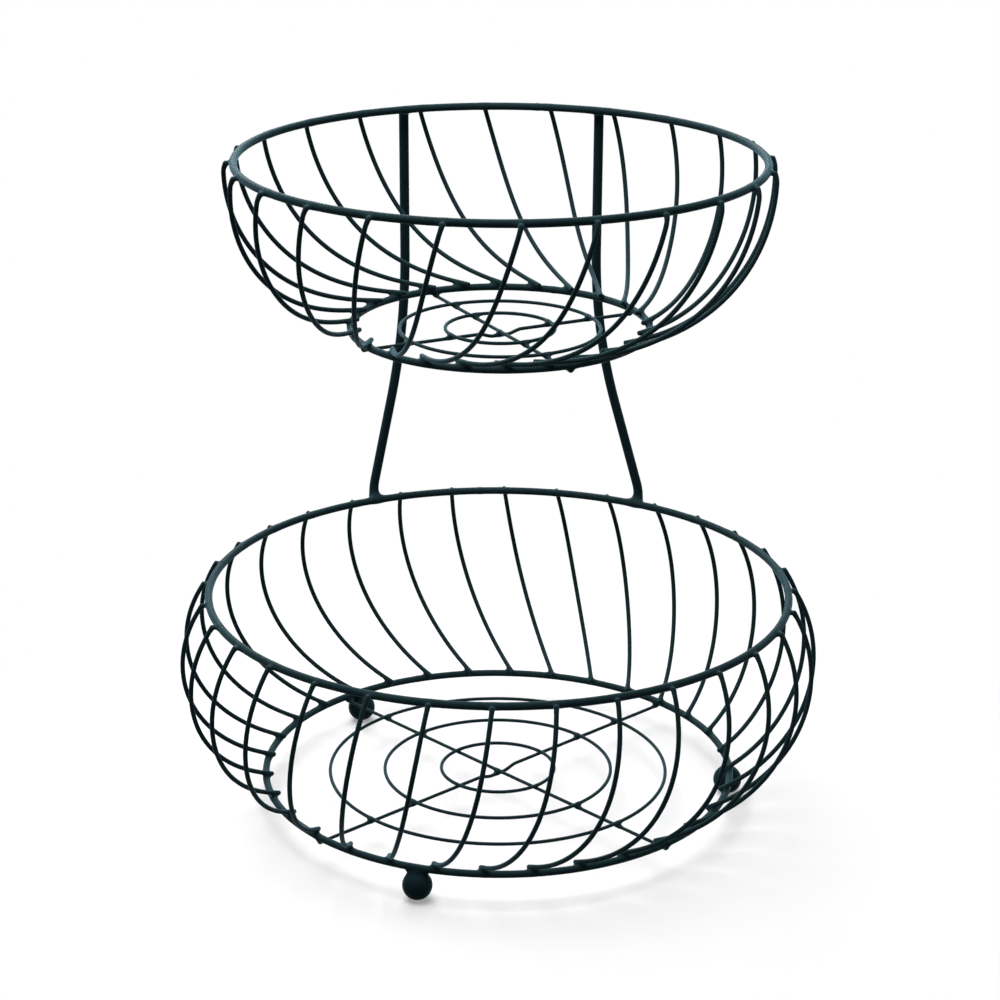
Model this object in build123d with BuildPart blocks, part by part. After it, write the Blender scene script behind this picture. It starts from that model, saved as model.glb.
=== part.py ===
from build123d import *

import os
from math import acos, asin, atan, cos, degrees, radians, sin, tan

# Two-tier round wire basket, welded from steel wire and powder coated black.
# A wide lower bowl stands on three ball feet. Two bent uprights at the back
# carry a smaller bowl above it. Lengths are in millimetres and angles in degrees.
# The origin is on the floor, on the axis of both bowls. +Y points to the back.

# Wire diameters
rim_wire = 4.0
base_ring_wire = 3.7
spoke_wire = 2.4
grid_wire = 1.8
upright_wire = 5.2

# Space left between two wires where a weld joins them
weld_gap = 0.05

# Ball feet under the lower base ring. The rear left one stands a step beside the
# end of a cross wire, and the others are turned on from it about the axis.
foot_ball = 15.0
foot_flat_depth = 0.35
foot_side_step = 9.5
front_foot_turn = 122.3
right_foot_turn = 233.0

# Lower bowl
lower_rim_radius = 150.0
lower_base_radius = 123.0
lower_depth = 102.0
lower_swell = 11.3
lower_belly_drop = 36.0
lower_turn_in = 28.5
lower_spoke_count = 32
lower_spoke_start = -1.0
lower_spoke_twist = 13.2
lower_even_twist_share = 0.33
lower_twist_power = 3.05
lower_spoke_tail = 4.4
lower_top_rise = 0.8
lower_wire_angle = 43.5
lower_grid_ring_shares = {"inner": 0.244, "middle": 0.488, "outer": 0.724}

# Upper bowl
tier_gap = 141.0
upper_rim_radius = 131.0
upper_base_radius = 75.0
upper_depth = 85.0
upper_swell = 1.6
upper_belly_drop = 5.4
upper_turn_in = 9.6
upper_spoke_count = 24
upper_spoke_start = 4.0
upper_spoke_twist = 32.4
upper_even_twist_share = 0.30
upper_twist_power = 4.25
upper_spoke_tail = 5.8
upper_top_rise = 0.2
upper_wire_angle = 27.0
upper_grid_ring_shares = {"inner": 0.367, "outer": 0.673}

# Straight runs between a spoke's top end and its base ring, and the size of
# the arc at each bend as a share of the shorter run beside it
spoke_runs = 9
bend_share = 0.45

# Cross wires end this far past the middle of the base ring's wire. One of them
# dips under the other in the middle of each base. The dip's floor and its ends
# are shares of the inner grid ring's radius.
cross_wire_overlap = 0.6
dip_floor_share = 0.14
dip_end_share = 0.44

# Uprights. Each stands beside a spoke of each bowl, the given distance round
# the rim from it, counted in the direction of growing angles.
upright_straight = 123.0
upright_kick = 7.0
upright_top_drop = 0.4
right_upper_spoke = 4
right_upper_side = 7.85
right_lower_spoke = 5
right_lower_side = 11.2
left_upper_spoke = 7
left_upper_side = 8.7
left_lower_spoke = 11
left_lower_side = -14.3

# Nodes that hold lower spokes hold this many, side by side
lower_spokes_per_node = 2

os.makedirs("parts", exist_ok=True)


def finish(builder, name):
    """Label a finished piece and write it to its own file."""
    builder.part.label = name
    export_step(builder.part, f"parts/{name}.step")


def touching(first_wire, second_wire):
    """Distance between the centre lines of two wires that are welded."""
    return (first_wire + second_wire) / 2 + weld_gap


def polar(radius, angle, height):
    """Point at a radius and an angle round the axis."""
    return Vector(radius * cos(radians(angle)), radius * sin(radians(angle)), height)


def bend_radii(points):
    """Largest arc that the shorter run beside each bend has room for."""
    radii = []
    for before, corner, after in zip(points, points[1:], points[2:]):
        run = min((corner - before).length, (after - corner).length)
        turn = radians((corner - before).get_angle(after - corner))
        radii.append(bend_share * run / tan(turn / 2))
    return radii


def sweep_wire(points, diameter):
    """Round wire along straight runs joined by arcs, for the open part builder."""
    with BuildLine() as route:
        FilletPolyline(*points, radius=bend_radii(points))
    with BuildSketch(Plane(origin=route.line @ 0, z_dir=route.line % 0)) as section:
        Circle(diameter / 2)
    sweep(sections=section.sketch, path=route.line)


# Heights of the rings, from the floor up
foot_middle = foot_ball / 2 - foot_flat_depth
lower_base_plane = foot_middle + touching(foot_ball, base_ring_wire)
lower_rim_plane = lower_base_plane + lower_depth
upper_base_plane = lower_rim_plane + tier_gap
upper_rim_plane = upper_base_plane + upper_depth

lower_spoke_step = 360 / lower_spoke_count
upper_spoke_step = 360 / upper_spoke_count


# Rings
def make_ring(name, radius, plane, wire):
    """Closed ring of round wire, level, about the axis of the bowls."""
    with BuildPart() as ring:
        with BuildSketch(Plane.XZ) as section:
            with Locations((radius, plane)):
                Circle(wire / 2)
        revolve(axis=Axis.Z)
    finish(ring, name)


make_ring("lower_rim", lower_rim_radius, lower_rim_plane, rim_wire)
make_ring("lower_base_ring", lower_base_radius, lower_base_plane, base_ring_wire)
make_ring("upper_rim", upper_rim_radius, upper_rim_plane, rim_wire)
make_ring("upper_base_ring", upper_base_radius, upper_base_plane, base_ring_wire)

# The cross wires run under the base ring, and the grid rings lie on them
cross_wire_drop = touching(base_ring_wire, grid_wire)
grid_ring_rise = touching(grid_wire, grid_wire)
lower_cross_plane = lower_base_plane - cross_wire_drop
upper_cross_plane = upper_base_plane - cross_wire_drop

for place, share in lower_grid_ring_shares.items():
    radius = share * lower_base_radius
    make_ring(f"lower_grid_ring_{place}", radius, lower_cross_plane + grid_ring_rise, grid_wire)
for place, share in upper_grid_ring_shares.items():
    radius = share * upper_base_radius
    make_ring(f"upper_grid_ring_{place}", radius, upper_cross_plane + grid_ring_rise, grid_wire)


# Cross wires
def make_cross_wires(tier, base_radius, cross_plane, angle, inner_ring_radius):
    """Two wires across a base at right angles, one of them dipping under the other."""
    reach = base_radius + cross_wire_overlap
    dip_end = dip_end_share * inner_ring_radius
    dip_floor = dip_floor_share * inner_ring_radius
    dip_plane = cross_plane - touching(grid_wire, grid_wire)
    near_end = polar(-reach, angle + 90, cross_plane)
    far_end = polar(reach, angle + 90, cross_plane)
    with BuildPart() as straight_wire:
        with BuildSketch(Plane(origin=near_end, z_dir=far_end - near_end)):
            Circle(grid_wire / 2)
        extrude(amount=(far_end - near_end).length)
    finish(straight_wire, f"{tier}_cross_wire_straight")
    half = [(dip_floor, dip_plane), (dip_end, cross_plane), (reach, cross_plane)]
    points = [polar(-along, angle, height) for along, height in reversed(half)]
    points += [polar(along, angle, height) for along, height in half]
    with BuildPart() as dipped_wire:
        sweep_wire(points, grid_wire)
    finish(dipped_wire, f"{tier}_cross_wire_joggled")


make_cross_wires(
    "lower",
    lower_base_radius,
    lower_cross_plane,
    lower_wire_angle,
    lower_grid_ring_shares["inner"] * lower_base_radius,
)
make_cross_wires(
    "upper",
    upper_base_radius,
    upper_cross_plane,
    upper_wire_angle,
    upper_grid_ring_shares["inner"] * upper_base_radius,
)

# Ball feet, with a small flat where each stands
foot_side_angle = degrees(asin(foot_side_step / lower_base_radius))
rear_left_foot_angle = lower_wire_angle + 90 - foot_side_angle
foot_angles = {
    "foot_rear_left": rear_left_foot_angle,
    "foot_front": rear_left_foot_angle + front_foot_turn,
    "foot_right": rear_left_foot_angle + right_foot_turn,
}
for name, angle in foot_angles.items():
    with BuildPart() as foot:
        with Locations(polar(lower_base_radius, angle, foot_middle)):
            Sphere(foot_ball / 2)
        split(bisect_by=Plane.XY, keep=Keep.TOP)
    finish(foot, name)


# Spokes
class Bowl:
    """Shape of one bowl's spokes.

    Seen from the side a spoke follows two quarter ellipses that share their
    middle radius and meet, upright, at the widest place. The upper one ends
    against the outer side of the rim, a small rise above the middle of the rim
    wire. The lower one comes down over the base ring at a slope and goes on
    straight as a short tail. The spoke also turns round the axis: in part
    evenly with its height, and in part ever faster towards the base ring.
    """

    def __init__(self, rim_radius, rim_plane, base_radius, base_plane, swell, belly_drop,
                 turn_in, twist, even_twist_share, twist_power, tail, top_rise):
        self.base_radius = base_radius
        self.twist = twist
        self.even_twist_share = even_twist_share
        self.twist_power = twist_power
        self.tail = tail
        self.middle_radius = base_radius - turn_in
        self.belly_plane = rim_plane - belly_drop
        top_radius = rim_radius + touching(rim_wire, spoke_wire)
        self.width = top_radius + swell - self.middle_radius
        self.top_turn = acos((top_radius - self.middle_radius) / self.width)
        self.top_drop = belly_drop + top_rise
        self.rise = self.top_drop / sin(self.top_turn)
        self.end_turn = acos(turn_in / self.width)
        self.fall = self.depth_below_belly(base_plane)
        self.spoke_depth = self.top_drop + self.fall * sin(self.end_turn)

    def depth_below_belly(self, base_plane):
        """Lower ellipse's height that lays the sloping end just on the base ring."""
        lift = touching(base_ring_wire, spoke_wire)
        fall = self.belly_plane - base_plane
        for _ in range(12):
            slope = atan(fall * cos(self.end_turn) / (self.width * sin(self.end_turn)))
            end_plane = base_plane + lift / cos(slope)
            fall = (self.belly_plane - end_plane) / sin(self.end_turn)
        return fall

    def point(self, share, start_angle):
        """Centre line at a share of the way from the top end to the base ring."""
        turn = self.top_turn - share * (self.top_turn + self.end_turn)
        above_belly = (self.rise if turn > 0 else self.fall) * sin(turn)
        depth_share = (self.top_drop - above_belly) / self.spoke_depth
        even = self.even_twist_share
        twisted = even * depth_share + (1 - even) * share**self.twist_power
        return polar(
            self.middle_radius + self.width * cos(turn),
            start_angle - self.twist * twisted,
            self.belly_plane + above_belly,
        )

    def route(self, start_angle):
        """Corners of the spoke from its top end to the end of its tail."""
        points = [self.point(step / spoke_runs, start_angle) for step in range(spoke_runs + 1)]
        nearly_there = self.point(1 - 1 / spoke_runs**2, start_angle)
        heading = (points[-1] - nearly_there).normalized()
        points.append(points[-1] + heading * self.tail)
        return points


lower_bowl = Bowl(
    lower_rim_radius, lower_rim_plane, lower_base_radius, lower_base_plane,
    lower_swell, lower_belly_drop, lower_turn_in, lower_spoke_twist,
    lower_even_twist_share, lower_twist_power, lower_spoke_tail, lower_top_rise,
)
upper_bowl = Bowl(
    upper_rim_radius, upper_rim_plane, upper_base_radius, upper_base_plane,
    upper_swell, upper_belly_drop, upper_turn_in, upper_spoke_twist,
    upper_even_twist_share, upper_twist_power, upper_spoke_tail, upper_top_rise,
)

for number in range(upper_spoke_count):
    with BuildPart() as spoke:
        sweep_wire(upper_bowl.route(upper_spoke_start + number * upper_spoke_step), spoke_wire)
    finish(spoke, f"upper_spoke_{number + 1:02d}")

for first in range(0, lower_spoke_count, lower_spokes_per_node):
    numbers = range(first, min(first + lower_spokes_per_node, lower_spoke_count))
    with BuildPart() as spokes:
        for number in numbers:
            sweep_wire(lower_bowl.route(lower_spoke_start + number * lower_spoke_step), spoke_wire)
    finish(spokes, f"lower_spokes_{numbers[0] + 1:02d}_{numbers[-1] + 1:02d}")


# Uprights
upper_seat_radius = upper_rim_radius + touching(rim_wire, upright_wire)
lower_seat_radius = lower_rim_radius + touching(rim_wire, upright_wire)


def make_upright(name, upper_angle, lower_angle):
    """Bent wire from the upper rim to the lower rim, at the back.

    It starts just under the middle of the upper rim's wire, drops straight,
    spreads outwards with one wide bend and ends upright against the lower rim,
    level with the rim's underside.
    """
    top = polar(upper_seat_radius, upper_angle, upper_rim_plane - upright_top_drop)
    kick = polar(lower_seat_radius, lower_angle, lower_rim_plane + upright_kick)
    foot = polar(lower_seat_radius, lower_angle, lower_rim_plane - rim_wire / 2)
    bend_plane = upper_rim_plane - upright_straight
    way_down = (top.Z - bend_plane) / (top.Z - kick.Z)
    bend = Vector(top.X, top.Y + way_down * (kick.Y - top.Y), bend_plane)
    with BuildPart() as upright:
        sweep_wire([top, bend, kick, foot], upright_wire)
    finish(upright, name)


def beside_spoke(start, step, number, side, seat_radius):
    """Angle of an upright that stands beside a spoke, along the rim from it."""
    return start + number * step + degrees(side / seat_radius)


make_upright(
    "upright_right",
    beside_spoke(upper_spoke_start, upper_spoke_step, right_upper_spoke,
                 right_upper_side, upper_seat_radius),
    beside_spoke(lower_spoke_start, lower_spoke_step, right_lower_spoke,
                 right_lower_side, lower_seat_radius),
)
make_upright(
    "upright_left",
    beside_spoke(upper_spoke_start, upper_spoke_step, left_upper_spoke,
                 left_upper_side, upper_seat_radius),
    beside_spoke(lower_spoke_start, lower_spoke_step, left_lower_spoke,
                 left_lower_side, lower_seat_radius),
)
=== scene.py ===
# %% [markdown]
# # A two-tier wire basket
# The object is a round basket in two tiers, welded from steel wire and powder coated
# black. The plain model that is loaded here holds every wire at its real size and
# place. This lesson gives each wire a finer surface, adds the welds that join them,
# and lays a powder coat over all of it. Everything is in metres, with the floor at
# height zero and the axis of both bowls at the origin.

# %% Load the fixed frame
import math

import bpy
import numpy as np
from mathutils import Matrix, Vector


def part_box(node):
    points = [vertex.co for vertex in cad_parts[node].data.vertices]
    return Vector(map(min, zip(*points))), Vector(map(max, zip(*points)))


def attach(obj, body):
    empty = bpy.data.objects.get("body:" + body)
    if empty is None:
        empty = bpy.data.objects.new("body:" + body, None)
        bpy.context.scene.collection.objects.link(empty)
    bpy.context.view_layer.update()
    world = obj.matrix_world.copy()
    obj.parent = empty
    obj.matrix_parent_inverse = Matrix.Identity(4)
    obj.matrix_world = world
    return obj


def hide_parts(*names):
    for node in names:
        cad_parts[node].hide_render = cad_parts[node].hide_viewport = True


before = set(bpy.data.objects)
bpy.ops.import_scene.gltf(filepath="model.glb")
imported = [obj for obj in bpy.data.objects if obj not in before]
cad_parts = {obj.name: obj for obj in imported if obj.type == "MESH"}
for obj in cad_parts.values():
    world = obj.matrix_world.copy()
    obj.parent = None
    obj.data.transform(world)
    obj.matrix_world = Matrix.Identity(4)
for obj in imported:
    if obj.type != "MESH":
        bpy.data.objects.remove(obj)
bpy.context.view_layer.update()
mm = 0.001
print("nodes:", len(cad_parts))

# %% [markdown]
# ## The camera
# The photograph was taken from in front and a little above, with a long lens. The
# numbers below come from matching the rims and rings, which are true circles, to the
# ellipses that they make in the picture. A small roll about the line of sight is part
# of the match. The rotation turns first about the lens axis and then tips the camera
# up from looking straight down, so its order is ZYX.

# %% Camera
camera_place = (0.42 * mm, -1279.95 * mm, 628.05 * mm)
camera_pitch = 0.34585
camera_roll = 0.0054
sensor = 36.0
focal_share = 2.6493

camera_data = bpy.data.cameras.new("camera")
camera_data.sensor_width = sensor
camera_data.lens = sensor * focal_share
camera = bpy.data.objects.new("camera", camera_data)
camera.location = camera_place
camera.rotation_mode = "ZYX"
camera.rotation_euler = (math.pi / 2 - camera_pitch, 0, camera_roll)
bpy.context.collection.objects.link(camera)
bpy.context.scene.camera = camera
print("lens in mm:", round(camera_data.lens, 2))

# %% [markdown]
# ## Shader maths as plain expressions
# A small class wraps a socket of a node tree, so that a sum or a product of values is
# written as one and adds its own Math node. Every other node comes from one method,
# which takes the node's type, its settings and the values or links of its sockets.


# %% Sockets and nodes
class Value:
    """A number that varies over a surface, with the arithmetic that materials need."""

    def __init__(self, graph, socket):
        self.graph = graph
        self.socket = socket

    def _math(self, operation, first, second):
        return self.graph.node("ShaderNodeMath", {"operation": operation}, {0: first, 1: second})

    def __add__(self, other):
        return self._math("ADD", self, other)

    def __radd__(self, other):
        return self._math("ADD", other, self)

    def __sub__(self, other):
        return self._math("SUBTRACT", self, other)

    def __rsub__(self, other):
        return self._math("SUBTRACT", other, self)

    def __mul__(self, other):
        return self._math("MULTIPLY", self, other)

    def __rmul__(self, other):
        return self._math("MULTIPLY", other, self)


class Graph:
    """The node tree of one material or world."""

    def __init__(self, owner):
        owner.use_nodes = True
        self.tree = owner.node_tree
        self.tree.nodes.clear()

    def node(self, kind, settings=None, inputs=None, output=0):
        """Add a node, settings first, then sockets, and return one of its outputs."""
        made = self.tree.nodes.new(kind)
        for name, value in (settings or {}).items():
            setattr(made, name, value)
        for name, value in (inputs or {}).items():
            if isinstance(value, Value):
                self.tree.links.new(value.socket, made.inputs[name])
            else:
                made.inputs[name].default_value = value
        return Value(self, made.outputs[output]) if len(made.outputs) else made


print("helpers: Value, Graph")

# %% [markdown]
# ## The powder coat
# Powder coat is a baked plastic skin on the wire. It is nearly black with a cold green
# tint, satin rather than glossy, and it flows into the corners of each weld, where it
# lies thicker. Close up it has a faint orange peel, in waves about a millimetre across.
# The colour and the roughness drift slowly along the wires, because no coat is even, and
# both read Object coordinates, so that the pattern stays on the wire.
#
# Light that meets the coat at a shallow angle comes back soft and cold blue-green. A
# clear gloss would turn it white there. So the gloss is kept very low, and a tinted
# sheen, which is brightest at shallow angles, gives that light instead.


# %% Powder coat material
specular_tint = (0.45, 0.85, 1.0, 1)
sheen_tint = (0.28, 0.76, 1.0, 1)
sheen_roughness = 0.35
drift_scale, mottle_scale, peel_scale = 38.0, 260.0, 900.0
mottle_share = 0.2
gloss_drift = 0.14
peel_strength = 0.03
peel_depth = 0.02 * mm
mottle_lift = 0.6


def powder_coat(name, deep, worn, roughness, specular, sheen):
    """Near-black coat whose tint and gloss drift over centimetres, over a fine peel."""
    material = bpy.data.materials.new(name)
    graph = Graph(material)
    place = graph.node("ShaderNodeTexCoord", output="Object")

    def noise(scale, detail):
        inputs = {"Vector": place, "Scale": scale, "Detail": detail}
        return graph.node("ShaderNodeTexNoise", None, inputs)

    mottle = noise(mottle_scale, 0.0)
    blend = noise(drift_scale, 1.0) * (1 - mottle_share) + mottle * mottle_share
    tint = graph.node(
        "ShaderNodeMix",
        {"data_type": "RGBA"},
        {"Factor": blend, 6: deep, 7: worn},
        output=2,
    )
    gloss = roughness + (blend - 0.5) * gloss_drift
    height = noise(peel_scale, 0.0) + mottle * mottle_lift
    grain = graph.node(
        "ShaderNodeBump",
        None,
        {"Strength": peel_strength, "Distance": peel_depth, "Height": height},
    )
    skin = graph.node(
        "ShaderNodeBsdfPrincipled",
        None,
        {
            "Base Color": tint,
            "Roughness": gloss,
            "Specular IOR Level": specular,
            "Specular Tint": specular_tint,
            "Sheen Weight": sheen,
            "Sheen Roughness": sheen_roughness,
            "Sheen Tint": sheen_tint,
            "Normal": grain,
        },
    )
    graph.node("ShaderNodeOutputMaterial", None, {"Surface": skin})
    return material


wire_coat = powder_coat(
    "wire_coat",
    deep=(0.0100, 0.0240, 0.0275, 1),
    worn=(0.0195, 0.0420, 0.0470, 1),
    roughness=0.50,
    specular=0.02,
    sheen=0.28,
)
# The feet take a darker copy of the wires' coat with less sheen: painted shade on the balls,
# which stand low under the base ring.
shaded_foot_coat = powder_coat(
    "shaded_foot_coat",
    deep=(0.0080, 0.0200, 0.0240, 1),
    worn=(0.0130, 0.0310, 0.0360, 1),
    roughness=0.50,
    specular=0.02,
    sheen=0.20,
)
print("materials:", wire_coat.name, shaded_foot_coat.name)

# %% [markdown]
# ## From grids of points to meshes
# Every shape here is a grid of points: rows along a wire and columns round it. One
# function turns any number of equal grids into a mesh. A grid either closes on itself
# along its rows, as a ring does, or gets a face at each end. Faces are index arrays,
# worked out for one grid and shifted for the rest.


# %% Grids to a piece
def grid_faces(rows, columns, ring):
    """Corner numbers of one grid's faces, flat, and the number of corners of each.

    A face joins each point with the next one round, the one ahead of that, and the one
    ahead of itself, so its front looks outwards where columns turn leftwards about the
    direction of the rows.
    """
    index = np.arange(rows * columns).reshape(rows, columns)
    ahead = np.roll(index, -1, axis=0)
    if not ring:
        index, ahead = index[:-1], ahead[:-1]
    quads = np.stack([index, np.roll(index, -1, 1), np.roll(ahead, -1, 1), ahead], axis=-1)
    corners = quads.reshape(-1)
    sizes = np.full(quads.size // 4, 4)
    if not ring:
        corners = np.concatenate([corners, index[0, ::-1], ahead[-1]])
        sizes = np.append(sizes, [columns, columns])
    return corners, sizes


def add_piece(name, grids, material, ring=False, replaces=()):
    """Mesh object from an array of grids, riding on the one body of the basket."""
    grids = np.asarray(grids, float)
    copies, rows, columns, _ = grids.shape
    corners, sizes = grid_faces(rows, columns, ring)
    shift = np.arange(copies)[:, None] * rows * columns
    corners = (corners[None, :] + shift).reshape(-1)
    sizes = np.tile(sizes, copies)
    mesh = bpy.data.meshes.new(name)
    mesh.vertices.add(copies * rows * columns)
    mesh.vertices.foreach_set("co", grids.reshape(-1))
    mesh.loops.add(len(corners))
    mesh.loops.foreach_set("vertex_index", corners)
    mesh.polygons.add(len(sizes))
    mesh.polygons.foreach_set("loop_start", np.concatenate([[0], np.cumsum(sizes)[:-1]]))
    mesh.polygons.foreach_set("use_smooth", np.ones(len(sizes), bool))
    mesh.update(calc_edges=True)
    mesh.materials.append(material)
    piece = bpy.data.objects.new(name, mesh)
    bpy.context.collection.objects.link(piece)
    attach(piece, "root")
    if replaces:
        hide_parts(*replaces)
    return piece


print("helpers: grid_faces, add_piece")

# %% [markdown]
# ## Sizes read from the frame
# A level ring tells its own size: its box is as high as its wire is thick, and as wide
# as the ring with one wire more. The radii and heights of all nine rings come from
# their boxes in that way, so nothing has to be fitted.


# %% Ring sizes
class Ring:
    """A level ring of round wire, measured on its node's box."""

    def __init__(self, node):
        low, high = (np.array(corner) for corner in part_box(node))
        self.node = node
        self.wire = (high[2] - low[2]) / 2
        self.radius = (high[0] - low[0]) / 2 - self.wire
        self.height = (high[2] + low[2]) / 2

    def distance(self, points):
        """Distance from points to the ring's surface: to its centre line, less the wire."""
        outwards = np.hypot(points[..., 0], points[..., 1]) - self.radius
        return np.hypot(outwards, points[..., 2] - self.height) - self.wire


rim = {tier: Ring(f"{tier}_rim") for tier in ("lower", "upper")}
base = {tier: Ring(f"{tier}_base_ring") for tier in ("lower", "upper")}
grid_rings = {
    "lower": [Ring(f"lower_grid_ring_{place}") for place in ("inner", "middle", "outer")],
    "upper": [Ring(f"upper_grid_ring_{place}") for place in ("inner", "outer")],
}
for ring in [*rim.values(), *base.values(), *grid_rings["lower"], *grid_rings["upper"]]:
    sizes = (ring.radius, ring.height, 2 * ring.wire)
    print(ring.node, "radius, height, wire in mm:", [round(size / mm, 2) for size in sizes])

# %% [markdown]
# ## A round wire
# A wire is a circle carried along a path. The circle needs a direction to start from at
# each station. A wire on a bowl always crosses the level line round the axis, so that
# line, made square to the path, serves as the start and never flips. The cut ends are
# not sharp: the coat rounds them off, so the last few circles run through a quarter
# turn before the flat face.


# %% Tubes
up = np.array([0.0, 0.0, 1.0])


def unit(vectors):
    """Vectors of length one."""
    return vectors / np.linalg.norm(vectors, axis=-1, keepdims=True)


def tube(path, radius, across, edge, sides=16, ring=False):
    """Surface of a round wire along a path.

    At each station the surface is the station plus the radius times the cosine of the
    angle round the wire along one direction and its sine along another, both square to
    the path. At an open end the radius shrinks by the edge, less the edge's cosine, as
    the station moves on by the edge's sine through a quarter turn.
    """
    if ring:
        along = unit(np.roll(path, -1, axis=0) - np.roll(path, 1, axis=0))
    else:
        along = unit(np.gradient(path, axis=0))
    side = unit(across - np.sum(across * along, axis=-1, keepdims=True) * along)
    other = np.cross(along, side)
    stations, radii = path, np.broadcast_to(radius, len(path))
    if not ring:
        turn = np.linspace(0, math.pi / 2, 5)[1:]
        reach, shrink = edge * np.sin(turn) - edge, edge * (1 - np.cos(turn))
        first = path[0] - along[0] * reach[::-1, None]
        last = path[-1] + along[-1] * reach[:, None]
        start, stop = path[0] + along[0] * edge, path[-1] - along[-1] * edge
        stations = np.concatenate([first, [start], path[1:-1], [stop], last])
        radii = np.concatenate([radii[0] - shrink[::-1], radii, radii[-1] - shrink])
        added = ((len(turn), len(turn)), (0, 0))
        side, other = np.pad(side, added, mode="edge"), np.pad(other, added, mode="edge")
    angle = np.linspace(0, 2 * math.pi, sides, endpoint=False)[:, None]
    circle = np.cos(angle) * side[:, None, :] + np.sin(angle) * other[:, None, :]
    return stations[:, None, :] + radii[:, None, None] * circle


def polar(radius, angle, height):
    """Points at a radius and an angle round the axis, and a height."""
    radius, angle, height = np.broadcast_arrays(radius, angle, height)
    return np.stack([radius * np.cos(angle), radius * np.sin(angle), height], axis=-1)


def around(points):
    """Level direction round the axis at each point, growing angles ahead."""
    return unit(np.stack([-points[..., 1], points[..., 0], 0 * points[..., 0]], axis=-1))


print("helpers: unit, tube, polar, around")

# %% [markdown]
# ## Rims and rings
# Each ring was bent from one length of wire and butt welded, which leaves a slight
# collar where the ends meet. The collar is a bell-shaped swelling of the wire's radius
# along its length. The seam of the upper rim lies at the back, right of the middle, and
# the other seams are placed out of the way of the spokes.


# %% Rings with their seams
seam_angles = {
    "upper_rim": 81.5, "lower_rim": 94.2, "upper_base_ring": 68.0, "lower_base_ring": 112.0,
    "lower_grid_ring_inner": 20.0, "lower_grid_ring_middle": 200.0,
    "lower_grid_ring_outer": 160.0, "upper_grid_ring_inner": 75.0, "upper_grid_ring_outer": 245.0,
}
seam_length = 1.3 * mm
seam_swell_share = 0.07
ring_step = 1.6 * mm
ring_sides = 20


def ring_grid(ring, seam_angle, stations):
    """Closed wire ring whose radius swells by a bell curve of the way from its seam."""
    angle = np.linspace(0, 2 * math.pi, stations, endpoint=False) + math.radians(seam_angle)
    path = polar(ring.radius, angle, ring.height)
    apart = np.angle(np.exp(1j * (angle - math.radians(seam_angle)))) * ring.radius
    swell = 1 + seam_swell_share * np.exp(-((apart / seam_length) ** 2))
    return tube(path, ring.wire * swell, up, 0, sides=ring_sides, ring=True)


for ring in [*rim.values(), *base.values(), *grid_rings["lower"], *grid_rings["upper"]]:
    stations = int(2 * math.pi * ring.radius / ring_step)
    grid = ring_grid(ring, seam_angles[ring.node], stations)
    add_piece(f"{ring.node}_wire", [grid], wire_coat, ring=True, replaces=[ring.node])
    print(ring.node, "stations round the ring:", stations)

# %% [markdown]
# ## Spokes
# Seen from the side a spoke follows two quarter ellipses that share their middle radius
# and meet at the widest place of the bowl. It starts against the outer side of the rim,
# just above the middle of the rim wire, swells outwards, turns in below and comes down
# over the base ring at a slope. There it goes on straight as a short tail with a blunt
# cut end. On its way down it also turns round the axis, in part evenly with its height
# and in part ever faster towards the base, which gives the bowl its swirl. A formula is
# the right tool, because all spokes of a bowl are one curve turned by equal steps.

# %% Spoke sizes
spoke_wire = 2.4 * mm / 2
weld_gap = 0.05 * mm
cut_edge = 0.45 * mm
spoke_counts = {"lower": 32, "upper": 24}
spoke_starts = {"lower": math.radians(-1.0), "upper": math.radians(4.0)}
spoke_shapes = {
    "lower": {
        "swell": 11.3 * mm, "belly_drop": 36.0 * mm, "turn_in": 28.5 * mm, "top_rise": 0.8 * mm,
        "twist": math.radians(13.2), "even_share": 0.33, "power": 3.05, "tail": 4.4 * mm,
    },
    "upper": {
        "swell": 1.6 * mm, "belly_drop": 5.4 * mm, "turn_in": 9.6 * mm, "top_rise": 0.2 * mm,
        "twist": math.radians(32.4), "even_share": 0.30, "power": 4.25, "tail": 5.8 * mm,
    },
}
print("spokes:", spoke_counts)


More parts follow.
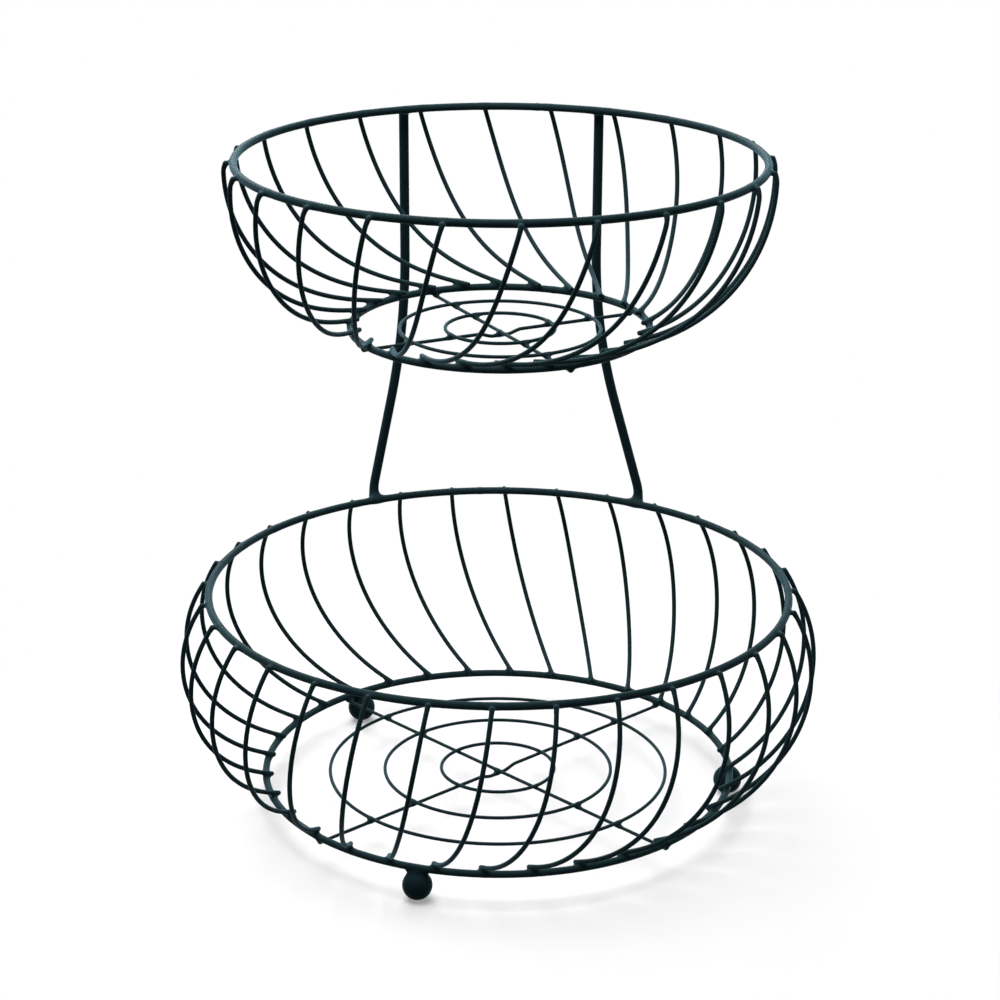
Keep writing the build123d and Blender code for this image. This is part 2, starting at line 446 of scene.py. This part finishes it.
# %% Spoke curve
class SpokeCurve:
    """Centre line of one bowl's spokes."""

    def __init__(self, tier):
        shape = spoke_shapes[tier]
        self.shape = shape
        self.base_height = base[tier].height
        self.middle = base[tier].radius - shape["turn_in"]
        self.belly_height = rim[tier].height - shape["belly_drop"]
        top_radius = rim[tier].radius + rim[tier].wire + spoke_wire + weld_gap
        self.width = top_radius + shape["swell"] - self.middle
        self.top_turn = math.acos((top_radius - self.middle) / self.width)
        self.end_turn = math.acos(shape["turn_in"] / self.width)
        self.top_drop = shape["belly_drop"] + shape["top_rise"]
        self.rise = self.top_drop / math.sin(self.top_turn)
        lift = base[tier].wire + spoke_wire + weld_gap
        # The slope over the ring sets how high the end lies, and the height sets the
        # slope, so the two are worked out by turns until they agree.
        self.fall = self.belly_height - self.base_height
        for _ in range(12):
            slope = math.atan(self.fall / self.width / math.tan(self.end_turn))
            end = self.base_height + lift / math.cos(slope)
            self.fall = (self.belly_height - end) / math.sin(self.end_turn)
        self.depth = self.top_drop + self.belly_height - end

    def points(self, share, start_angle):
        """Points at shares of the way from the top end to the base ring.

        The radius is the middle radius plus the width times the cosine of the turn, and
        the height above the belly is the rise or the fall times its sine. The angle falls
        by the twist times a mix of two shares: the depth reached so far, and a power of
        the way.
        """
        turn = self.top_turn - share * (self.top_turn + self.end_turn)
        above_belly = np.where(turn > 0, self.rise, self.fall) * np.sin(turn)
        even = self.shape["even_share"]
        twisted = even * (self.top_drop - above_belly) / self.depth
        twisted = twisted + (1 - even) * share ** self.shape["power"]
        return polar(
            self.middle + self.width * np.cos(turn),
            start_angle - self.shape["twist"] * twisted,
            self.belly_height + above_belly,
        )

    def end_direction(self, start_angle):
        """Direction in which the spoke crosses the base ring."""
        last = self.points(np.array([0.998, 1.0]), start_angle)
        return unit(last[1] - last[0])

    def path(self, start_angle, stations=84):
        """The whole centre line: the curve down to the base ring, then the tail."""
        curve = self.points(np.linspace(0, 1, stations), start_angle)
        out = np.linspace(0, self.shape["tail"], 6)[1:]
        return np.concatenate([curve, curve[-1] + out[:, None] * self.end_direction(start_angle)])


spokes = {tier: SpokeCurve(tier) for tier in ("lower", "upper")}
for tier, curve in spokes.items():
    path = curve.path(0.0)
    length = np.linalg.norm(np.diff(path, axis=0), axis=1).sum()
    print(tier, "spoke length in mm:", round(length / mm, 1))


# %% Spoke pieces
def spoke_angles(tier):
    """Start angles of all spokes of a bowl, in even steps."""
    steps = np.arange(spoke_counts[tier])
    return spoke_starts[tier] + steps * 2 * math.pi / spoke_counts[tier]


def spoke_grid(tier, start_angle):
    """Round wire along one spoke, with rounded cut ends."""
    path = spokes[tier].path(start_angle)
    return tube(path, spoke_wire, around(path), cut_edge)


lower_grids = [spoke_grid("lower", angle) for angle in spoke_angles("lower")]
for first in range(0, spoke_counts["lower"], 2):
    node = f"lower_spokes_{first + 1:02d}_{first + 2:02d}"
    add_piece(f"{node}_wire", lower_grids[first:first + 2], wire_coat, replaces=[node])
for number, angle in enumerate(spoke_angles("upper"), start=1):
    node = f"upper_spoke_{number:02d}"
    add_piece(f"{node}_wire", [spoke_grid("upper", angle)], wire_coat, replaces=[node])
print("spoke pieces:", spoke_counts["lower"] // 2 + spoke_counts["upper"])

# %% [markdown]
# ## Cross wires
# Two wires cross under each base at right angles. One is straight, and the other dips
# under it in the middle with two gentle bends on each side. The dip is a smooth step
# between a flat floor and the level of the rest of the wire, and the frame gives its
# depth: the node's box is deeper than the wire by just that much.

# %% Cross wire curves
cross_angles = {"lower": math.radians(43.5), "upper": math.radians(27.0)}
cross_wire_overlap = 0.6 * mm
cross_wire_stations = 240
cross_wire_edge = 0.35 * mm
dip_floor_share = 0.14
dip_end_share = 0.44


def smooth_step(value):
    """Zero below 0 and one above 1, with an S-shaped way between: 3 v squared less 2 v cubed."""
    value = np.clip(value, 0, 1)
    return value**2 * (3 - 2 * value)


def cross_wire(tier, node, angle, dip):
    """Path of a wire across a base, dipping in the middle, and its wire's radius."""
    low, high = (np.array(corner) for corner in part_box(node))
    wire = grid_rings[tier][0].wire
    reach = base[tier].radius + cross_wire_overlap
    along = np.linspace(-reach, reach, cross_wire_stations)
    inner = grid_rings[tier][0].radius
    climb = (np.abs(along) / inner - dip_floor_share) / (dip_end_share - dip_floor_share)
    height = high[2] - wire - dip * (1 - smooth_step(climb))
    return np.stack([along * math.cos(angle), along * math.sin(angle), height], axis=-1), wire


cross_wire_paths = {}
for tier, angle in cross_angles.items():
    for kind, turn in (("straight", math.pi / 2), ("joggled", 0.0)):
        node = f"{tier}_cross_wire_{kind}"
        low, high = (np.array(corner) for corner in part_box(node))
        dip = (high[2] - low[2]) - 2 * grid_rings[tier][0].wire
        path, wire = cross_wire(tier, node, angle + turn, dip)
        cross_wire_paths[tier] = path
        grid = tube(path, wire, up, cross_wire_edge)
        add_piece(f"{node}_wire", [grid], wire_coat, replaces=[node])
        print(node, "dip in mm:", round(dip / mm, 2))

# %% [markdown]
# ## Uprights
# Each upright is one bent wire. From the upper rim it drops straight, spreads outwards
# with one wide bend and ends upright against the lower rim. It stands a little way round
# each rim from one of the spokes. Its corners are the same as in the frame: the top, the
# wide bend, the small kick just above the lower rim and the foot. A circular arc rounds
# each corner, as large as the shorter run beside it has room for.

# %% Upright path
upright_wire = 5.2 * mm / 2
upright_straight = 123.0 * mm
upright_kick = 7.0 * mm
upright_top_drop = 0.4 * mm
upright_bend_share = 0.45
upright_step = 1.5 * mm
upright_edge = 0.8 * mm
upright_sides = 24
beside_spokes = {
    "right": {"upper": (4, 7.85 * mm), "lower": (5, 11.2 * mm)},
    "left": {"upper": (7, 8.7 * mm), "lower": (11, -14.3 * mm)},
}


def rounded(corners, share, stations=40):
    """Path along corners with an arc at each: straight runs joined by tangent arcs.

    An arc starts and ends a share of the shorter run away from its corner. Its points
    are the corner's two tangent points, carried about the arc's centre in even turns.
    """
    pieces = [corners[:1]]
    for before, corner, after in zip(corners, corners[1:], corners[2:]):
        back, ahead = before - corner, after - corner
        room = share * min(np.linalg.norm(back), np.linalg.norm(ahead))
        back, ahead = unit(back), unit(ahead)
        half = math.acos(np.clip(back @ ahead, -1, 1)) / 2
        centre = corner + unit(back + ahead) * room / math.cos(half)
        start, stop = corner + back * room - centre, corner + ahead * room - centre
        turn = math.pi - 2 * half
        part = np.linspace(0, 1, stations)[:, None]
        arc = np.sin((1 - part) * turn) * start + np.sin(part * turn) * stop
        pieces.append(centre + arc / math.sin(turn))
    pieces.append(corners[-1:])
    return np.concatenate(pieces)


def spread(path, step):
    """The same path with stations at even steps along it."""
    run = np.concatenate([[0], np.cumsum(np.linalg.norm(np.diff(path, axis=0), axis=1))])
    even = np.linspace(0, run[-1], int(run[-1] / step))
    return np.stack([np.interp(even, run, path[:, axis]) for axis in range(3)], axis=-1)


upright_paths = {}
for name, sides in beside_spokes.items():
    seats = {tier: rim[tier].radius + rim[tier].wire + upright_wire + weld_gap for tier in rim}
    turn = {tier: spoke_angles(tier)[number] + side / seats[tier]
            for tier, (number, side) in sides.items()}
    top = polar(seats["upper"], turn["upper"], rim["upper"].height - upright_top_drop)
    kick = polar(seats["lower"], turn["lower"], rim["lower"].height + upright_kick)
    foot = polar(seats["lower"], turn["lower"], rim["lower"].height - rim["lower"].wire)
    bend_height = rim["upper"].height - upright_straight
    down = (top[2] - bend_height) / (top[2] - kick[2])
    bend = np.array([top[0], top[1] + down * (kick[1] - top[1]), bend_height])
    path = spread(rounded(np.array([top, bend, kick, foot]), upright_bend_share), upright_step)
    upright_paths[name] = path
    backwards = np.array([0.0, 1.0, 0.0])
    grid = tube(path, upright_wire, backwards, upright_edge, sides=upright_sides)
    node = f"upright_{name}"
    add_piece(f"{node}_wire", [grid], wire_coat, replaces=[node])
    print(node, "stations:", len(path))

# %% [markdown]
# ## Welds
# Where two wires touch, the weld and the coat over it fill the corner between them. The
# natural description is a distance field: each wire's field is the distance to its
# surface, and a smooth union of two fields is their minimum, pulled down where they are
# nearly equal. Its zero is the shape of both wires with a fillet between them. Seen
# from the point where the wires touch, that surface can be met along any ray, so the
# bead is found by stepping along a fan of rays and noting where the field turns
# positive. Towards the bead's reach its surface sinks just under the wires, which hides
# its edge.


# %% Weld beads
ray_steps = 100


def line_distance(points, start, stop, wire):
    """Distance to the surface of a straight wire with round ends, between two points."""
    run = stop - start
    share = np.clip((points - start) @ run / (run @ run), 0, 1)
    return np.linalg.norm(points - start - share[..., None] * run, axis=-1) - wire


def path_distance(points, path, wire):
    """Distance to the surface of a bent wire: the least over its straight runs."""
    return np.minimum.reduce([line_distance(points, *run, wire) for run in zip(path, path[1:])])


def smooth_union(first, second, blend):
    """Least of two distances, less a quarter of the blend where they are equal."""
    near = np.clip(blend - np.abs(first - second), 0, None) / blend
    return np.minimum(first, second) - near**2 * blend / 4


def bead(centre, first, second, blend, reach, proud=0.06 * mm, rows=34, columns=48, floor=None):
    """Closed surface of a weld, met along rays from its centre.

    The field along a ray is the smooth union of two wires, less the proud height times
    one less twice the square of the share of the reach. So the weld stands proud of the
    wires near its centre and sinks under them at its reach. The surface lies where the
    field first turns positive, by a straight line between two steps.
    """
    tilt = np.linspace(math.pi, 0, rows + 2)[1:-1, None]
    turn = np.linspace(0, 2 * math.pi, columns, endpoint=False)[None, :]
    rays = np.stack([np.sin(tilt) * np.cos(turn), np.sin(tilt) * np.sin(turn),
                     np.cos(tilt) + 0 * turn], axis=-1)
    out = np.linspace(0, reach, ray_steps)
    points = centre + rays[..., None, :] * out[:, None]
    field = smooth_union(first(points), second(points), blend)
    field = field - proud * (1 - 2 * (out / reach) ** 2)
    outside = field > 0
    outside[..., 0] = False
    outside[..., -1] = True
    step = outside.argmax(axis=-1)
    after = np.take_along_axis(field, step[..., None], -1)[..., 0]
    before = np.take_along_axis(field, step[..., None] - 1, -1)[..., 0]
    part = np.clip(-before / np.where(after > before, after - before, 1), 0, 1)
    part = np.where(after > 0, part, 1)
    length = out[step - 1] + part * (out[1] - out[0])
    if floor is not None:
        down = np.where(rays[..., 2] < 0, rays[..., 2], -1e-9)
        length = np.minimum(length, (floor - centre[2]) / down)
    return centre + rays * length[..., None]


def turned(grid, angles):
    """Copies of a grid turned about the axis by each angle."""
    cos, sin = np.cos(angles), np.sin(angles)
    zero, one = np.zeros_like(cos), np.ones_like(cos)
    turns = np.stack([np.stack([cos, -sin, zero], -1), np.stack([sin, cos, zero], -1),
                      np.stack([zero, zero, one], -1)], axis=-2)
    return np.einsum("mij,rcj->mrci", turns, grid)


print("helpers: bead, turned")

# %% [markdown]
# The spokes' welds repeat round each bowl, so one bead is worked out at the first spoke
# and turned to the others.

# %% Welds of the spokes
rim_spoke_weld = {"blend": 2.2 * mm, "reach": 6.6 * mm, "proud": 0.14 * mm}
base_spoke_weld = {"blend": 2.4 * mm, "reach": 5.8 * mm}
end_inset_share = 0.9
near_rim, near_base = slice(2, 14), slice(-18, -2)

for tier, curve in spokes.items():
    steps = np.arange(spoke_counts[tier]) * 2 * math.pi / spoke_counts[tier]
    path = curve.path(spoke_starts[tier])
    inset = end_inset_share * spoke_wire
    first = path[:1] + unit(path[1] - path[0]) * inset
    last = path[-1:] - unit(path[-1] - path[-2]) * inset
    upper_end = np.concatenate([first, path[near_rim]])
    lower_end = np.concatenate([path[near_base], last])

    def top_field(points):
        return path_distance(points, upper_end, spoke_wire)

    start = math.atan2(path[0, 1], path[0, 0])
    contact = polar(rim[tier].radius + rim[tier].wire, start, rim[tier].height)
    weld = bead(contact, rim[tier].distance, top_field, **rim_spoke_weld)
    add_piece(f"{tier}_rim_spoke_welds", turned(weld, steps), wire_coat)

    def end_field(points):
        return path_distance(points, lower_end, spoke_wire)

    crossing = curve.points(np.array([1.0]), spoke_starts[tier])[0]
    contact = crossing + up * (base[tier].height - crossing[2]) / 2
    weld = bead(contact, base[tier].distance, end_field, **base_spoke_weld)
    add_piece(f"{tier}_base_spoke_welds", turned(weld, steps), wire_coat)
    print(tier, "spoke welds:", 2 * len(steps))

# %% [markdown]
# The grid's welds sit where a ring lies on a cross wire, or a cross wire hangs under
# the base ring, four times round for each ring, and once in the middle of each base.

# %% Welds of the grids
grid_weld = {"blend": 3.0 * mm, "reach": 5.2 * mm}
past_dip_share = 0.3
for tier, angle in cross_angles.items():
    wire = grid_rings[tier][0].wire
    level = grid_rings[tier][0].height - 2 * wire - weld_gap
    half = np.array([math.cos(angle), math.sin(angle), 0.0])
    quarter_turns = np.arange(4) * math.pi / 2
    grids = []

    def wire_field(points):
        end = half * (base[tier].radius + cross_wire_overlap - end_inset_share * wire)
        return line_distance(points, past_dip_share * end + up * level, end + up * level, wire)

    for ring in [*grid_rings[tier], base[tier]]:
        contact = half * ring.radius + up * (ring.height - ring.wire - weld_gap / 2)
        weld = bead(contact, ring.distance, wire_field, **grid_weld)
        grids.append(turned(weld, quarter_turns))
    add_piece(f"{tier}_grid_welds", np.concatenate(grids), wire_coat)

    side = np.array([-half[1], half[0], 0.0])
    reach = 12 * mm
    dipped = cross_wire_paths[tier]
    dipped = dipped[np.linalg.norm(dipped[:, :2], axis=1) < reach]

    def straight_field(points):
        return line_distance(points, up * level - side * reach, up * level + side * reach, wire)

    def dipped_field(points):
        return path_distance(points, dipped, wire)

    contact = up * (level - wire - weld_gap / 2)
    middle = bead(contact, straight_field, dipped_field, **grid_weld)
    add_piece(f"{tier}_middle_weld", [middle], wire_coat)
    print(tier, "grid welds:", 4 * len(grids) + 1)

# %% [markdown]
# The uprights carry the upper bowl, so their welds are the largest. Each upright is
# welded to the outer side of both rims.

# %% Welds of the uprights
upright_blends = {"upper": 4.0 * mm, "lower": 5.4 * mm}
upright_weld_reach = 6.0 * mm
near_end = slice(0, 14)
for name, path in upright_paths.items():
    welds = []
    for tier, part in (("upper", path[near_end]), ("lower", path[::-1][near_end])):
        inset = unit(part[1] - part[0]) * upright_wire * end_inset_share
        part = np.concatenate([part[:1] + inset, part[3:]])

        def upright_field(points):
            return path_distance(points, part, upright_wire)

        angle = math.atan2(part[0, 1], part[0, 0])
        contact = polar(rim[tier].radius + rim[tier].wire, angle, rim[tier].height)
        blend = upright_blends[tier]
        reach = upright_weld_reach + blend
        weld = bead(contact, rim[tier].distance, upright_field, blend, reach, rows=56, columns=72)
        welds.append(weld)
    add_piece(f"upright_{name}_welds", welds, wire_coat)
    print("upright", name, "welds:", len(welds))

# %% [markdown]
# ## Ball feet
# A steel ball is welded under the base ring and the coat draws a short neck between
# them. It is the same smooth union as a weld, of a ball and the ring, met along rays
# from the middle of the ball and cut flat at the floor.

# %% Feet
foot_weld = {"blend": 4.0 * mm, "reach": 12.0 * mm, "rows": 60, "columns": 72}
for node in ("foot_front", "foot_rear_left", "foot_right"):
    low, high = (np.array(corner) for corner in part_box(node))
    ball = (high[0] - low[0]) / 2
    centre = np.array([(low[0] + high[0]) / 2, (low[1] + high[1]) / 2, high[2] - ball])

    def ball_field(points):
        return np.linalg.norm(points - centre, axis=-1) - ball

    grid = bead(centre, ball_field, base["lower"].distance, **foot_weld, floor=low[2])
    # Each ball wears the darker copy of the coat, painted shade where it sits under the ring.
    add_piece(f"{node}_ball", [grid], shaded_foot_coat, replaces=[node])
    print(node, "ball in mm:", round(2 * ball / mm, 2))

# %% [markdown]
# ## Floor and studio light
# The basket stands on a plain white floor that reaches past the picture. A soft lamp
# behind and one overhead draw the light bands along the upper side of each wire, as in
# a product studio, and a weak one in front keeps the dark sides readable. The
# background is white because of its own colour: rays from the camera, and mirror-like
# rays, meet a white world, and the floor gives off that white too, fully where it is far
# from the basket and in part below it. There the rest is paint, so it keeps the shadow.
# Soft light off the floor and the world is weaker than what the camera sees of them.


# %% Which rays see the white studio
def seen_white(graph):
    """One for rays from the camera and mirror-like rays, zero for soft light."""
    camera_ray, glossy_ray, transmission_ray = (
        graph.node("ShaderNodeLightPath", output=f"Is {kind} Ray")
        for kind in ("Camera", "Glossy", "Transmission")
    )
    rays = camera_ray + glossy_ray + transmission_ray
    return graph.node("ShaderNodeMath", {"operation": "MINIMUM"}, {0: rays, 1: 1.0})


def grey(level):
    """Neutral colour of one level."""
    return (level, level, level, 1)


# %% Floor
floor_half = 12.0
fade_start, fade_end = 0.12, 0.34
paint_share = 0.7
paint_level, dull_level = 0.93, 0.11

floor_material = bpy.data.materials.new("floor")
graph = Graph(floor_material)
seen = seen_white(graph)
place = graph.node("ShaderNodeTexCoord", output="Object")
distance = graph.node("ShaderNodeVectorMath", {"operation": "LENGTH"}, {0: place}, output="Value")
far = graph.node(
    "ShaderNodeMapRange",
    {"interpolation_type": "SMOOTHSTEP"},
    {"Value": distance, "From Min": fade_start, "From Max": fade_end},
)
paint = graph.node("ShaderNodeBsdfDiffuse", None, {"Color": grey(paint_level)})
dull = graph.node("ShaderNodeBsdfDiffuse", None, {"Color": grey(dull_level)})
glow = graph.node("ShaderNodeEmission", None, {"Color": grey(1), "Strength": 1.0})
near_floor = graph.node("ShaderNodeMixShader", None, {0: seen, 1: dull, 2: paint})
glowing = (1 - paint_share * (1 - far)) * seen
whole_floor = graph.node("ShaderNodeMixShader", None, {0: glowing, 1: near_floor, 2: glow})
graph.node("ShaderNodeOutputMaterial", None, {"Surface": whole_floor})

corners = floor_half * np.array([(-1, -1, 0), (1, -1, 0), (1, 1, 0), (-1, 1, 0)])
floor_mesh = bpy.data.meshes.new("floor")
floor_mesh.from_pydata(corners.tolist(), [], [(0, 1, 2, 3)])
floor_mesh.materials.append(floor_material)
floor = bpy.data.objects.new("floor", floor_mesh)
bpy.context.collection.objects.link(floor)
print("floor in m:", 2 * floor_half)

# %% Lamps and world
basket_middle = Vector((0, 0, 0.17))


def soft_lamp(name, place, size, power):
    """Square area lamp aimed at the middle of the basket."""
    data = bpy.data.lights.new(name, "AREA")
    data.shape = "SQUARE"
    data.size = size
    data.energy = power
    lamp = bpy.data.objects.new(name, data)
    lamp.location = place
    lamp.rotation_euler = (basket_middle - lamp.location).to_track_quat("-Z", "Y").to_euler()
    bpy.context.collection.objects.link(lamp)
    return lamp


lamps = [
    soft_lamp("back_lamp", (-0.3, 1.3, 1.1), 1.2, 27),
    soft_lamp("top_lamp", (-0.25, 0.0, 1.25), 0.9, 15.5),
    soft_lamp("front_lamp", (1.2, -1.4, 1.6), 1.0, 2.5),
]

soft_strength = 0.07
world = bpy.data.worlds.new("studio")
bpy.context.scene.world = world
graph = Graph(world)
dim = graph.node("ShaderNodeBackground", None, {"Color": grey(1), "Strength": soft_strength})
white = graph.node("ShaderNodeBackground", None, {"Color": grey(1), "Strength": 1.0})
sky = graph.node("ShaderNodeMixShader", None, {0: seen_white(graph), 1: dim, 2: white})
graph.node("ShaderNodeOutputWorld", None, {"Surface": sky})
bpy.context.scene.view_settings.view_transform = "Standard"
print("lamps:", len(lamps))
